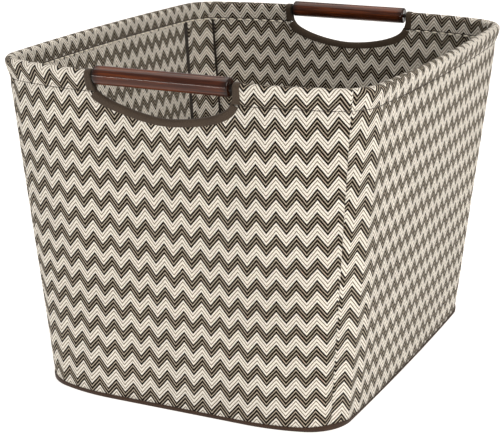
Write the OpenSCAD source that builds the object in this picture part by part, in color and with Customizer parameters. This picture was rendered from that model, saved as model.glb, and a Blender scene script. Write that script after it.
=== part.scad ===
// Tapered fabric storage bin with a wire rim and two turning wooden grips.
// The origin is the centre of the base where it meets the floor. X runs along a short face,
// Y from the front grip (at -Y) to the back grip, and Z up.

/* [Overall] */
// Width across the rim wire, at the middle of the long sides
top_w = 348; // [300:1:400]
// Length along the rim wire, from grip axis to grip axis
top_l = 408; // [350:1:470]
// Outside width of the base, at the middle of the long sides
base_w = 290; // [250:1:340]
// Outside length of the base, at the middle of the short faces
base_l = 376; // [320:1:440]
// Height of the rim wire's centre above the floor
wire_z = 292; // [220:1:360]

/* [Corners] */
// Radius of the rim wire at its corners
top_corner_r = 34; // [28:1:45]
// Radius of the mid-wall line at the base corners
base_corner_r = 37; // [28:1:45]
// Angle that a short face has turned through where its rim corner starts
top_front_turn = 19; // [12:0.5:24]
// Angle that a short face has turned through where its base corner starts
base_front_turn = 17; // [10:0.5:22]
// Angle that a long side turns through between its middle and its rim corner
top_side_turn = 4; // [2:0.5:6]
// Angle that a long side turns through between its middle and its base corner
base_side_turn = 1.5; // [1:0.5:4]

/* [Wall layers] */
// Thickness of the woven outer cover
cover_t = 0.9; // [0.6:0.1:1.5]
// Thickness of the stiffening boards
board_t = 1.8; // [1.2:0.1:3]
// Thickness of the lining cloth
lining_t = 0.9; // [0.6:0.1:1.5]
// Play between one layer and the next
layer_gap = 0.15; // [0.1:0.05:0.3]
// Share of a corner that the cover of the short face wraps before its seam
seam_share = 0.38; // [0.2:0.02:0.7]

/* [Rim and hem] */
// Diameter of the rim wire
wire_d = 3.2; // [2.6:0.1:4]
// Free play around the wire inside the rolled hem
roll_play = 1.5; // [1.2:0.1:2]
// Drop from the wire's centre to the hem stitching
hem_drop = 14; // [13:0.5:18]
// Length of the tube that joins the two ends of the wire
joiner_l = 30; // [20:1:50]
// Wall of that tube
joiner_wall = 0.9; // [0.5:0.1:1]

/* [Grips] */
// Diameter of a wooden grip
grip_d = 15.7; // [13:0.1:20]
// Length of a wooden grip
grip_l = 122; // [90:1:124]
// Radial running clearance between a grip's bore and the wire
bore_clear = 0.06; // [0.04:0.01:0.1]
// Radius of the rounded edge at each end of a grip
grip_edge_r = 1.4; // [0.6:0.1:2.5]
// Bare wire between a grip and the hem on each side
grip_gap = 2.6; // [2:0.1:4]

/* [Hand openings] */
// Drop from the wire's centre to the lowest point of a hand opening
opening_drop = 31; // [26:1:50]
// Drop from the wire's centre to the level where that opening is widest
opening_top = 8; // [5:0.5:12]
// Width of the tape that binds the edges
tape_w = 7.5; // [6:0.5:12]
// Thickness of that tape
tape_t = 0.6; // [0.4:0.1:1]

/* [Base] */
// Thickness of the cloth under the base
base_cloth_t = 0.9; // [0.6:0.1:1.5]
// Thickness of the board in the base
base_board_t = 2.4; // [1.6:0.1:4]
// Height of the binding round the bottom edge
binding_h = 4; // [3:0.5:8]
// Width of the binding's turn-under on the floor side
binding_under = 7; // [4:0.5:12]
// Thickness of that binding
binding_t = 0.9; // [0.6:0.1:1.2]

/* [Hidden] */

stack_t = cover_t + board_t + lining_t + 2 * layer_gap; // whole wall
half_stack = stack_t / 2;
wire_r = wire_d / 2;
opening_half = grip_l / 2 + grip_gap;                   // half width of a hand opening
straight = opening_half + 2;                            // half length of each short face's straight middle
stitch_z = wire_z - hem_drop;                           // level of the hem stitching
wall_top = stitch_z - layer_gap;                        // top edge of the wall layers
opening_depth = opening_drop - opening_top;             // half height of the opening's ellipse
roll_r = wire_r + roll_play;                            // inside of the rolled hem
tape_in = half_stack + layer_gap;                       // inner face of the edge tapes, from mid-wall
tape_out = tape_in + tape_t;                            // outer face of the edge tapes, from mid-wall
floor_z = base_cloth_t + layer_gap;                     // where the wall layers start
base_board_z = floor_z;
base_lining_z = base_board_z + base_board_t + layer_gap;
base_inset = half_stack + layer_gap;                    // edge of the base layers, from mid-wall

level_count = 4;    // rows of points up a wall
bend_step = 7;      // stations on each bend of the loop
curve_steps = 6;    // steps from the low point of a hand opening's curve to each end
fold_step = 30;     // degrees between points round a fold

woven = "#9f988a";
shade = "#695f52";
brown_tape = "#4b3f31";
wood = "#49230f";
dark_metal = "#2a2522";
grey_board = "#8b8478";

// ---- The wall line: a rounded, bowed loop that changes evenly from the base to the rim ----

function mix(a, b, t) = a + (b - a) * t;

// Half width, half length, corner radius and the two bend angles at height t (0 base, 1 rim).
function level(t) = [
    mix(base_w / 2 - half_stack, top_w / 2, t), mix(base_l / 2 - half_stack, top_l / 2, t),
    mix(base_corner_r, top_corner_r, t), mix(base_front_turn, top_front_turn, t),
    90 - mix(base_side_turn, top_side_turn, t)];

// The three arcs of the front right quarter, each as [centre, radius, first heading, last heading].
// The large radii are solved so that the arcs end at the given half width and half length.
function arcs(t) = let (
    v = level(t), r = v[2], a = v[3], b = v[4],
    px = v[0] - straight - r * (sin(b) - sin(a)),
    py = v[1] - r * (cos(a) - cos(b)),
    det = sin(a) * cos(b) - (1 - sin(b)) * (1 - cos(a)),
    front_r = (px * cos(b) - (1 - sin(b)) * py) / det,
    side_r = (sin(a) * py - (1 - cos(a)) * px) / det,
    c1 = [straight, front_r - v[1]],
    c2 = c1 + (front_r - r) * [sin(a), -cos(a)],
    c3 = c2 + (r - side_r) * [sin(b), -cos(b)]
) [[c1, front_r, 0, a], [c2, r, a, b], [c3, side_r, b, 90]];

// A point of that quarter. Station 0 is mid-front, 1 the end of the straight middle, 2 and 3 the
// ends of the corner, and 4 mid-side. Inset is measured inwards, square to the wall.
function quarter_point(t, station, inset) = station <= 1
    ? [station * straight, inset - level(t)[1]]
    : let (k = min(2, floor(station) - 1), arc = arcs(t)[k], h = mix(arc[2], arc[3], station - 1 - k))
        arc[0] + (arc[1] - inset) * [sin(h), -cos(h)];

// A point of the whole loop. Stations run 0 mid-front, 4 mid-right, 8 mid-back, 12 mid-left, 16 mid-front.
function loop_point(station, z, inset) = let (
    s = station - 16 * floor(station / 16), quarter = floor(s / 4),
    odd = quarter % 2, near = odd == 1 ? 4 * (quarter + 1) - s : s - 4 * quarter,
    p = quarter_point(min(1, z / wire_z), near, inset)
) [quarter < 2 ? p[0] : -p[0], quarter == 0 || quarter == 3 ? p[1] : -p[1], z];

// Share of a station that a length takes on the front bend or the long side at the rim.
function on_front(length) = length / (arcs(1)[0][1] * top_front_turn * PI / 180);
function on_side(length) = length / (arcs(1)[2][1] * top_side_turn * PI / 180);

// ---- Sheets: closed solids between two grids of points ----

function flat(list) = [for (row = list) for (p = row) p];

// Outer and inner are grids, point [i][j], with i along the loop and j up the wall or round the fold.
module sheet(outer, inner, ring = false) {
    n = len(outer);
    m = len(outer[0]);
    last = ring ? n - 1 : n - 2;
    function a(i, j) = (i % n) * m + j;
    function b(i, j) = n * m + (i % n) * m + j;
    function quad(p, q, r, s) = [[p, q, r], [p, r, s]];
    faces = flat(concat(
        [for (i = [0 : last]) for (j = [0 : m - 2]) quad(a(i, j), a(i, j + 1), a(i + 1, j + 1), a(i + 1, j))],
        [for (i = [0 : last]) for (j = [0 : m - 2]) [[b(i, j), b(i + 1, j + 1), b(i, j + 1)],
            [b(i, j), b(i + 1, j), b(i + 1, j + 1)]]],
        [for (i = [0 : last]) quad(a(i, m - 1), b(i, m - 1), b(i + 1, m - 1), a(i + 1, m - 1))],
        [for (i = [0 : last]) quad(a(i, 0), a(i + 1, 0), b(i + 1, 0), b(i, 0))],
        ring ? [] : [for (j = [0 : m - 2]) quad(a(0, j), b(0, j), b(0, j + 1), a(0, j + 1))],
        ring ? [] : [for (j = [0 : m - 2]) quad(a(n - 1, j), a(n - 1, j + 1), b(n - 1, j + 1), b(n - 1, j))]));
    polyhedron(points = flat(concat(outer, inner)), faces = faces);
}

// Stations from one place to another, with every bend cut into equal steps and no step on the straights.
function stations(from, to) = let (
    inner_stops = [for (k = [ceil(from) : floor(to)]) for (i = [0 : bend_step - 1])
        let (s = k + i / bend_step) if (s > from && s < to && (i == 0 || !on_straight(s))) s],
    first = [for (i = [1 : bend_step - 1]) let (s = floor(from) + i / bend_step)
        if (s > from && s < ceil(from) && s < to && !on_straight(s)) s]
) concat([from], first, inner_stops, [to]);
function on_straight(s) = let (w = (s + 1) - 8 * floor((s + 1) / 8)) w < 2;

// ---- The hand opening ----

// A point on the opening's half ellipse. Turn is the angle from its low point, and out is the distance
// from the curve into the cloth. The result is [x, z].
function opening_point(turn, out = 0) = let (
    s = sin(turn), c = cos(turn), normal = [s / opening_half, -c / opening_depth], k = norm(normal)
) [opening_half * s + out * normal[0] / k, wire_z - opening_top - opening_depth * c + out * normal[1] / k];

// The curve stops at the hem stitching, and the layers stop where the folded tape turns round them.
end_turn = acos((hem_drop - opening_top) / opening_depth);
opening_turns = [for (i = [-curve_steps : curve_steps]) end_turn * i / curve_steps];
opening_edge = [for (t = opening_turns) opening_point(t, tape_out)];

function opening_stops(middle) = [for (p = opening_edge) middle + p[0] / straight];
function opening_tops() = [for (p = opening_edge) min(wall_top, p[1])];

// A wall layer between two insets. Tops is the height of its top edge at each station.
module layer(stops, tops, out, t, bottom = floor_z) {
    function grid(inset) = [for (i = [0 : len(stops) - 1]) [for (j = [0 : level_count])
        loop_point(stops[i], mix(bottom, tops[i], j / level_count), inset)]];
    sheet(grid(out), grid(out + t));
}

module plain_layer(from, to, out, t) {
    stops = stations(from, to);
    layer(stops, [for (s = stops) wall_top], out, t);
}

// A layer with the hand opening, whose middle is at the given station.
module opened_layer(from, middle, to, out, t) {
    edge_stops = opening_stops(middle);
    before = [for (s = stations(from, middle - 1)) if (s < edge_stops[0]) s];
    after = [for (s = stations(middle + 1, to)) if (s > edge_stops[len(edge_stops) - 1]) s];
    layer(concat(before, edge_stops, after),
        concat([for (s = before) wall_top], opening_tops(), [for (s = after) wall_top]), out, t);
}

// ---- The layers of the wall ----

cover_inset = -half_stack;
board_inset = cover_inset + cover_t + layer_gap;
lining_inset = board_inset + board_t + layer_gap;
seam_stop = 2 + seam_share; // where a cover seam crosses the corner
seam_play = layer_gap / (top_corner_r * PI / 2);

module short_cover(middle) {
    reach = seam_stop - seam_play;
    color(woven) opened_layer(middle - reach, middle, middle + reach, cover_inset, cover_t);
}
module long_cover(middle) {
    reach = 4 - seam_stop - seam_play;
    color(woven) plain_layer(middle - reach, middle + reach, cover_inset, cover_t);
}
module front_cover() { short_cover(16); }
module back_cover() { short_cover(8); }
module right_cover() { long_cover(4); }
module left_cover() { long_cover(12); }

module short_board(middle) {
    color(grey_board) opened_layer(middle - 2, middle, middle + 2, board_inset, board_t);
}
module long_board(middle) { color(grey_board) plain_layer(middle - 1, middle + 1, board_inset, board_t); }
module front_board() { short_board(16); }
module back_board() { short_board(8); }
module right_board() { long_board(4); }
module left_board() { long_board(12); }

module short_lining(middle) {
    reach = 2 - on_front(layer_gap);
    color(shade) opened_layer(middle - reach, middle, middle + reach, lining_inset, lining_t);
}
module long_lining(middle) {
    reach = 1 - on_side(layer_gap);
    color(shade) plain_layer(middle - reach, middle + reach, lining_inset, lining_t);
}
module front_lining() { short_lining(16); }
module back_lining() { short_lining(8); }
module right_lining() { long_lining(4); }
module left_lining() { long_lining(12); }

module corner_strip(from) { color(shade) plain_layer(from, from + 1, lining_inset, lining_t); }
module front_right_corner_strip() { corner_strip(2); }
module back_right_corner_strip() { corner_strip(5); }
module back_left_corner_strip() { corner_strip(10); }
module front_left_corner_strip() { corner_strip(13); }

// ---- The hem and its tapes ----

// The folded hem seen end on, as [inset, drop below the wire]: up the outside, over the wire and down
// the inside. Grow moves it out from the wire, and low is the drop of its two edges.
function hem_fold(grow, low) = let (r = roll_r + grow, foot = half_stack - cover_t + grow) concat(
    [[-foot, low], [-mix(foot, r, 0.35), low * 0.6], [-mix(foot, r, 0.85), low * 0.28]],
    [for (h = [0 : fold_step : 180]) [-r * cos(h), -r * sin(h)]],
    [[mix(foot, r, 0.85), low * 0.28], [mix(foot, r, 0.35), low * 0.6], [foot, low]]);

module folded(from, to, inner, t, low) {
    stops = stations(from, to);
    function grid(grow) = [for (s = stops) [for (p = hem_fold(grow, low)) loop_point(s, wire_z - p[1], p[0])]];
    sheet(grid(inner + t), grid(inner));
}

hem_start = (opening_half + tape_t) / straight;
module hem(middle) { color(woven) folded(middle - 4 + hem_start, middle + 4 - hem_start, 0, cover_t, hem_drop); }
module right_hem() { hem(4); }
module left_hem() { hem(12); }

tape_from = opening_half / straight;
tape_to = 1 + on_front(opening_half + tape_w - straight);
module hem_tape(from, to) {
    color(brown_tape) folded(from, to, cover_t + layer_gap, tape_t, hem_drop - layer_gap);
}
module front_right_hem_tape() { hem_tape(tape_from, tape_to); }
module back_right_hem_tape() { hem_tape(8 - tape_to, 8 - tape_from); }
module back_left_hem_tape() { hem_tape(8 + tape_from, 8 + tape_to); }
module front_left_hem_tape() { hem_tape(16 - tape_to, 16 - tape_from); }

// The tape folded over the curved edge of a hand opening, as [distance into the cloth, inset].
function tape_fold(r, edge) = concat([[edge, -r]],
    [for (h = [0 : fold_step : 180]) [tape_out - r * sin(h), -r * cos(h)]], [[edge, r]]);

module opening_binding(middle) {
    function grid(r) = [for (p = tape_fold(r, tape_w)) [for (turn = opening_turns)
        let (q = opening_point(turn, p[0])) loop_point(middle + q[0] / straight, q[1], p[1])]];
    color(brown_tape) sheet(grid(tape_out), grid(tape_in));
}
module front_opening_binding() { opening_binding(16); }
module back_opening_binding() { opening_binding(8); }

// ---- The rim wire, its joiner and the grips ----

// A point beside the rim wire's centre line, at a distance r and an angle round it.
function round_wire(station, r, angle) = let (p = loop_point(station, wire_z, r * cos(angle)))
    [p[0], p[1], wire_z + r * sin(angle)];

// The bent part of the wire, from one straight middle round a long side to the other.
module wire_bend(from, to) {
    stops = stations(from, to);
    rings = len(stops);
    sides = 16;
    function at(i, j) = i * sides + j % sides;
    skin = [for (i = [0 : rings - 2]) for (j = [0 : sides - 1])
        [[at(i, j), at(i, j + 1), at(i + 1, j + 1)], [at(i, j), at(i + 1, j + 1), at(i + 1, j)]]];
    caps = [[for (j = [sides - 1 : -1 : 0]) at(0, j)], [for (j = [0 : sides - 1]) at(rings - 1, j)]];
    polyhedron(points = [for (s = stops) for (j = [0 : sides - 1]) round_wire(s, bend_r, -j * 360 / sides)],
        faces = concat(flat(skin), caps));
}

// The wire is straight through each grip, and its bends run a little way into the straight lengths.
bend_r = wire_r * 0.995;
bend_start = 1 - wire_r / straight;
module rim_wire() {
    color(dark_metal) {
        for (side = [-1, 1]) translate([0, side * top_l / 2, wire_z]) rotate([0, 90, 0])
            cylinder(r = wire_r, h = 2 * straight, center = true, $fn = 32);
        wire_bend(bend_start, 8 - bend_start);
        wire_bend(8 + bend_start, 16 - bend_start);
    }
}

// The joiner lies on the wire at the middle of the left side, inside the hem.
module wire_joiner() {
    side = arcs(1)[2];
    half_turn = joiner_l / side[1] * 90 / PI;
    color(dark_metal) translate([-side[0][0], -side[0][1], wire_z]) rotate([0, 0, 180 - half_turn])
        rotate_extrude(angle = 2 * half_turn, $fn = 360) translate([side[1], 0]) difference() {
            circle(wire_r + layer_gap / 3 + joiner_wall, $fn = 32);
            circle(wire_r + layer_gap / 3, $fn = 32);
        }
}

// Half outline of a grip, as [radius, distance along], with rounded edges.
function grip_outline() = let (r = grip_d / 2, h = grip_l / 2, e = grip_edge_r) concat([[0, -h]],
    [for (a = [0 : 18 : 90]) [r - e + e * sin(a), -h + e - e * cos(a)]],
    [for (a = [90 : 18 : 180]) [r - e + e * sin(a), h - e - e * cos(a)]], [[0, h]]);

module grip(side) {
    color(wood) translate([0, side * top_l / 2, wire_z]) rotate([0, 90, 0]) difference() {
        rotate_extrude($fn = 64) polygon(grip_outline());
        cylinder(r = wire_r + bore_clear, h = 2 * grip_l, center = true, $fn = 32);
    }
}
module front_grip() { grip(-1); }
module back_grip() { grip(1); }

// ---- The base ----

loop_stops = [for (s = stations(1, 17)) if (s < 17) s];

module base_layer(z, t, inset) {
    translate([0, 0, z]) linear_extrude(t)
        polygon([for (s = loop_stops) let (p = loop_point(s, z, inset)) [p[0], p[1]]]);
}
module base_cloth() { color(brown_tape) base_layer(0, base_cloth_t, binding_under + layer_gap - half_stack); }
module base_board() { color(grey_board) base_layer(base_board_z, base_board_t, base_inset); }
module base_lining() { color(shade) base_layer(base_lining_z, lining_t, base_inset); }

// A folded strip: under the edge of the base, round the bottom corner and up the outside of the wall.
module base_binding() {
    wall = -half_stack - layer_gap;
    edge = wall - binding_t;
    ease = binding_t * 0.6;
    outside = [[binding_under - half_stack, 0], [edge + ease, 0], [edge, ease], [edge, binding_h]];
    inside = [[binding_under - half_stack, base_cloth_t], [wall + ease, base_cloth_t],
        [wall, base_cloth_t + ease / 4], [wall, binding_h]];
    function grid(outline) = [for (s = loop_stops) [for (p = outline) loop_point(s, p[1], p[0])]];
    color(brown_tape) sheet(grid(outside), grid(inside), ring = true);
}

rim_wire();
wire_joiner();
front_grip();
back_grip();
front_cover();
back_cover();
left_cover();
right_cover();
left_hem();
right_hem();
front_board();
back_board();
left_board();
right_board();
front_lining();
back_lining();
left_lining();
right_lining();
front_left_corner_strip();
front_right_corner_strip();
back_left_corner_strip();
back_right_corner_strip();
front_opening_binding();
back_opening_binding();
front_left_hem_tape();
front_right_hem_tape();
back_left_hem_tape();
back_right_hem_tape();
base_cloth();
base_board();
base_lining();
base_binding();
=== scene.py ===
# %% [markdown]
# # A fabric storage bin with two turning wooden grips
# The bin is a tapered box of stiff boards between two layers of zigzag cloth. A wire runs round its rim
# inside a rolled hem, and comes out in a hand opening at each end, where a wooden grip turns on it.
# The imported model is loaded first. It is the fixed frame: every cloth layer here is rebuilt at the
# place where the model has it, and each one follows the model's body "bin" or one of its two grips.

# %% Load the frame
import math

import bpy
import numpy as np
from mathutils import Matrix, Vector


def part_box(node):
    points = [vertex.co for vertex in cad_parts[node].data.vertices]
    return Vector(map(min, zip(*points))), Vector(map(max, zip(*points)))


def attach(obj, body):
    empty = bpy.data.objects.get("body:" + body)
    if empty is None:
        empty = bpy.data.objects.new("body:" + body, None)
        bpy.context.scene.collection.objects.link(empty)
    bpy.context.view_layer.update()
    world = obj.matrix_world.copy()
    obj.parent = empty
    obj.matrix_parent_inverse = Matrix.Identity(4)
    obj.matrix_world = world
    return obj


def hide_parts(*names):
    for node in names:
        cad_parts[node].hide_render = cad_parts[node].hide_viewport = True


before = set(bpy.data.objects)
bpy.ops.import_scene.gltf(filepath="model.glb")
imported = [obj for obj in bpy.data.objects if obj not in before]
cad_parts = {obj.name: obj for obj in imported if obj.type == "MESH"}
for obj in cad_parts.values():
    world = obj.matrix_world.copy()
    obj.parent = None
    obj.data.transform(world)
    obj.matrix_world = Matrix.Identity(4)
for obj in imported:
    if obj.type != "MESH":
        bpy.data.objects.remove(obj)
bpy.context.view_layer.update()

# %% [markdown]
# ## Where the camera stands
# The camera looks at the front and the right side from above, through a long lens, so that upright
# edges stay nearly parallel. Its place is given as a turn round the bin, a tilt and a distance, because
# these are easier to judge than three coordinates. The lens and the small sideways offsets put the bin
# where it should be in the frame without any lens shift.

# %% Camera
AZIMUTH, TILT = math.radians(25.108), math.radians(16.506)
back = np.array([math.sin(AZIMUTH) * math.cos(TILT), -math.cos(AZIMUTH) * math.cos(TILT), math.sin(TILT)])
right = np.array([math.cos(AZIMUTH), math.sin(AZIMUTH), 0.0])
up = np.cross(back, right)
place = right * -0.01636 + up * 0.11951 + back * 1.4098

camera_data = bpy.data.cameras.new("camera")
camera_data.sensor_fit, camera_data.sensor_width, camera_data.lens = "HORIZONTAL", 36.0, 103.98
camera = bpy.data.objects.new("camera", camera_data)
bpy.context.collection.objects.link(camera)
camera.matrix_world = Matrix([[right[i], up[i], back[i], place[i]] for i in range(3)] + [[0, 0, 0, 1]])
bpy.context.scene.camera = camera
print("camera at", place.round(3))

# %% [markdown]
# ## The line that every wall layer follows
# Seen from above, the wall is a rounded loop: a straight middle at each end, a slow bend, a tight
# corner, and a slightly bowed long side. It changes evenly from the base to the rim. Cloth, lining,
# hem and tape all follow this loop, each at its own inset, so one function gives the points of all
# of them. A station counts along the loop: 0 mid-front, 4 mid-right, 8 mid-back, 12 mid-left.

# %% Sizes of the wall, in millimetres
MM = 0.001
wire_low, wire_high = (np.array(corner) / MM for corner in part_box("rim_wire"))
WIRE_D = wire_high[2] - wire_low[2]
WIRE_Z = (wire_high[2] + wire_low[2]) / 2
HALF_STACK = 1.95                                  # half of the wall's three layers
CLOTH_T = 0.9                                      # thickness of every cloth
BASE_INSET = HALF_STACK + 0.15                     # the base layers stop this far inside mid-wall
TOP_HALF_L = (wire_high[1] - wire_low[1] - WIRE_D) / 2
TOP_HALF_W = (wire_high[0] - wire_low[0] - WIRE_D) / 2
BASE_HALF_W, BASE_HALF_L = 145 - HALF_STACK, 188 - HALF_STACK    # mid-wall at the base
STRAIGHT = 65.6                                    # half of the straight middle at each end
STITCH_Z = WIRE_Z - 14                             # level of the hem stitching
FLOOR_Z = 1.05                                     # where the wall layers start
COVER = (-HALF_STACK, CLOTH_T - HALF_STACK)        # insets of the two faces of the outer cloth
LINING = (HALF_STACK - CLOTH_T, HALF_STACK)        # and of the lining
print("wire", round(WIRE_D, 2), "mm thick at", round(WIRE_Z, 1), "mm; rim", TOP_HALF_W * 2, "x", TOP_HALF_L * 2)

# %% The loop
def wall(station, z, inset):
    """Points of the wall in mm, how far each is along it from the middle of its short face, and how far
    it still is from the middle of its long side. Inset is measured inwards from mid-wall."""
    station, z, inset = np.broadcast_arrays(*(np.asarray(v, float) for v in (station, z, inset)))
    turn = np.mod(station, 16)
    quarter = np.floor(turn / 4)
    near = np.where(quarter % 2 == 1, 4 * (quarter + 1) - turn, turn - 4 * quarter)
    t = np.clip(z / WIRE_Z, 0, 1)
    half_w, half_l = BASE_HALF_W + (TOP_HALF_W - BASE_HALF_W) * t, BASE_HALF_L + (TOP_HALF_L - BASE_HALF_L) * t
    r, a, b = 37 - 3 * t, np.radians(17 + 2 * t), np.radians(88.5 - 2.5 * t)
    px = half_w - STRAIGHT - r * (np.sin(b) - np.sin(a))
    py = half_l - r * (np.cos(a) - np.cos(b))
    det = np.sin(a) * np.cos(b) - (1 - np.sin(b)) * (1 - np.cos(a))
    bend_r = (px * np.cos(b) - (1 - np.sin(b)) * py) / det - inset
    side_r = (np.sin(a) * py - (1 - np.cos(a)) * px) / det - inset
    r = r - inset
    h1 = a * np.clip(near - 1, 0, 1)
    h2 = a + (b - a) * np.clip(near - 2, 0, 1)
    h3 = b + (np.pi / 2 - b) * np.clip(near - 3, 0, 1)
    run = STRAIGHT * np.clip(near, 0, 1)
    x = run + bend_r * np.sin(h1) + r * (np.sin(h2) - np.sin(a)) + side_r * (np.sin(h3) - np.sin(b))
    y = inset - half_l + bend_r * (1 - np.cos(h1)) + r * (np.cos(a) - np.cos(h2)) + side_r * (np.cos(b) - np.cos(h3))
    done = run + bend_r * h1 + r * (h2 - a) + side_r * (h3 - b)
    whole = STRAIGHT + bend_r * a + r * (b - a) + side_r * (np.pi / 2 - b)
    points = np.stack([np.where(quarter < 2, x, -x), np.where(quarter % 3 == 0, y, -y), z], -1)
    return points, np.where(quarter % 2 == 0, done, -done), np.where(quarter % 2 == 1, whole - done, done - whole)


def stops(start, end, step=4.0, fine_ends=True):
    """Stations from start to end, about step mm apart, and closer together at the two ends."""
    many = np.linspace(start, end, 1600)
    line = wall(many, 200.0, 0.0)[0]
    far = np.concatenate([[0], np.cumsum(np.linalg.norm(np.diff(line, axis=0), axis=1))])
    want = np.linspace(0, far[-1], max(2, int(far[-1] / step)) + 1)
    if fine_ends:
        near = np.array([0.5, 1, 1.6, 2.3, 3.2])
        want = np.unique(np.concatenate([want, near, far[-1] - near]))
    return np.interp(want, far, many)


lap = np.linalg.norm(np.diff(wall(np.linspace(0, 16, 4000), WIRE_Z, 0.0)[0], axis=0), axis=1).sum()
print("the wire is", round(lap), "mm round")

# %% [markdown]
# ## From grids to cloth
# Real cloth is a thin solid, so each piece is made as two grids of points, its outer and inner face,
# joined round the edge. A grid also says where each point lay on the flat cloth before it was sewn.
# That goes into a UV map named "cloth", in metres, so that the weave can be drawn at its real size
# and runs over a fold as the real one does. The rim of the solid is flat shaded and stays crisp.

# %% Mesh helpers
def finish_mesh(name, points, faces, smooth=None, cloth=None):
    """Makes an object from points in mm. Cloth is one flat place in mm for each corner of each face."""
    mesh = bpy.data.meshes.new(name)
    mesh.from_pydata((np.asarray(points) * MM).tolist(), [], [list(map(int, f)) for f in faces])
    if cloth is not None:
        layer = mesh.uv_layers.new(name="cloth")
        layer.data.foreach_set("uv", (np.asarray(cloth, float) * MM).ravel())
    mesh.polygons.foreach_set("use_smooth", np.ones(len(faces), bool) if smooth is None else smooth)
    mesh.update()
    piece = bpy.data.objects.new(name, mesh)
    bpy.context.collection.objects.link(piece)
    return piece


def cloth_solid(name, outer, inner, flat, other=None, uses_other=None, ring=False):
    """A thin closed solid between two grids [i][j]. Flat holds each point's place on the uncut cloth;
    columns marked in uses_other take it from other, where a seam joins a second piece of cloth."""
    n, m = outer.shape[:2]
    index = np.arange(n * m).reshape(n, m)
    i = np.arange(n if ring else n - 1)
    k = (i + 1) % n
    a, b, c, d = index[i, :-1], index[k, :-1], index[k, 1:], index[i, 1:]
    front = np.stack([a, b, c, d], -1)
    strip = lambda p, q, turn: np.stack([p, q, q + n * m, p + n * m], -1)[:, ::turn]
    rims = [strip(index[i, 0], index[k, 0], -1), strip(index[i, m - 1], index[k, m - 1], 1)]
    if not ring:
        rims += [strip(index[0, :-1], index[0, 1:], 1), strip(index[n - 1, :-1], index[n - 1, 1:], -1)]
    rims = np.concatenate(rims)
    skins = np.concatenate([front.reshape(-1, 4), front.reshape(-1, 4)[:, ::-1] + n * m])
    faces = np.concatenate([skins, rims])
    places = flat.reshape(-1, 2)[faces % (n * m)]
    if other is not None:
        cells = np.broadcast_to(uses_other[: len(i), None], front.shape[:2]).ravel()
        swap = np.concatenate([cells, cells, np.zeros(len(rims), bool)])
        places = np.where(swap[:, None, None], other.reshape(-1, 2)[faces % (n * m)], places)
    points = np.concatenate([outer.reshape(-1, 3), inner.reshape(-1, 3)])
    return finish_mesh(name, points, faces, np.arange(len(faces)) < len(skins), places)


def sew_in(piece, material, node):
    """Gives a finished sheet its material, lets it ride on the bin and hides the model's part that it replaces."""
    piece.data.materials.append(material)
    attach(piece, "bin")
    if node:
        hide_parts(node)


# %% [markdown]
# ## Colours and nodes
# Colours are written as sRGB hex values, as a dye card gives them, and one function turns them into
# the linear values that the shader works with. Another adds a node with its settings and its links,
# and every material here is drawn with it.

# %% Colour and node helpers
def dye(code):
    """An sRGB hex colour as linear RGBA."""
    part = [int(code[i:i + 2], 16) / 255 for i in (1, 3, 5)]
    return tuple(v / 12.92 if v <= 0.04045 else ((v + 0.055) / 1.055) ** 2.4 for v in part) + (1.0,)


def add(tree, kind, inputs=(), **settings):
    """Adds a node of a kind, with its settings. Inputs are values or the sockets to link, as a list in
    order or a dictionary by name. Returns its first output."""
    node = tree.nodes.new("ShaderNode" + kind)
    for name, value in settings.items():
        setattr(node, name, value)
    for key, value in (inputs.items() if isinstance(inputs, dict) else enumerate(inputs)):
        if isinstance(value, bpy.types.NodeSocket):
            tree.links.new(value, node.inputs[key])
        elif value is not None:
            node.inputs[key].default_value = value
    return node.outputs[0] if node.outputs else None


def new_material(name):
    """An empty material with an output, and its node tree."""
    material = bpy.data.materials.new(name)
    material.use_nodes = True
    material.node_tree.nodes.clear()
    return material, material.node_tree


def stops_of(ramp_output, *marks):
    """Sets the colours of a ramp from pairs of a place and a hex colour."""
    ramp = ramp_output.node.color_ramp
    for count, (at, code) in enumerate(marks):
        mark = ramp.elements[count] if count < 2 else ramp.elements.new(at)
        mark.position, mark.color = at, dye(code)
    return ramp_output


# %% [markdown]
# ## The zigzag cloth
# The cover is a polyester jacquard, woven in a zigzag: three dark brown bands with thin tan lines
# between them, then a wide cream band with two grey lines. One zigzag is 16.85 mm wide and the rows
# repeat every 19.3 mm.
# The drawing is a triangle wave that shifts a colour ramp up and down. The real yarns are about half
# a millimetre apart, which would only shimmer, so they are drawn at twice that, as beads along each
# leg of the zigzag. Small shifts and blotches keep it from looking printed.

# %% Woven zigzag cloth
ZIG, REPEAT, RISE, YARN = 16.85 * MM, 19.3 * MM, 10.5 * MM, 1.05 * MM


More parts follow.
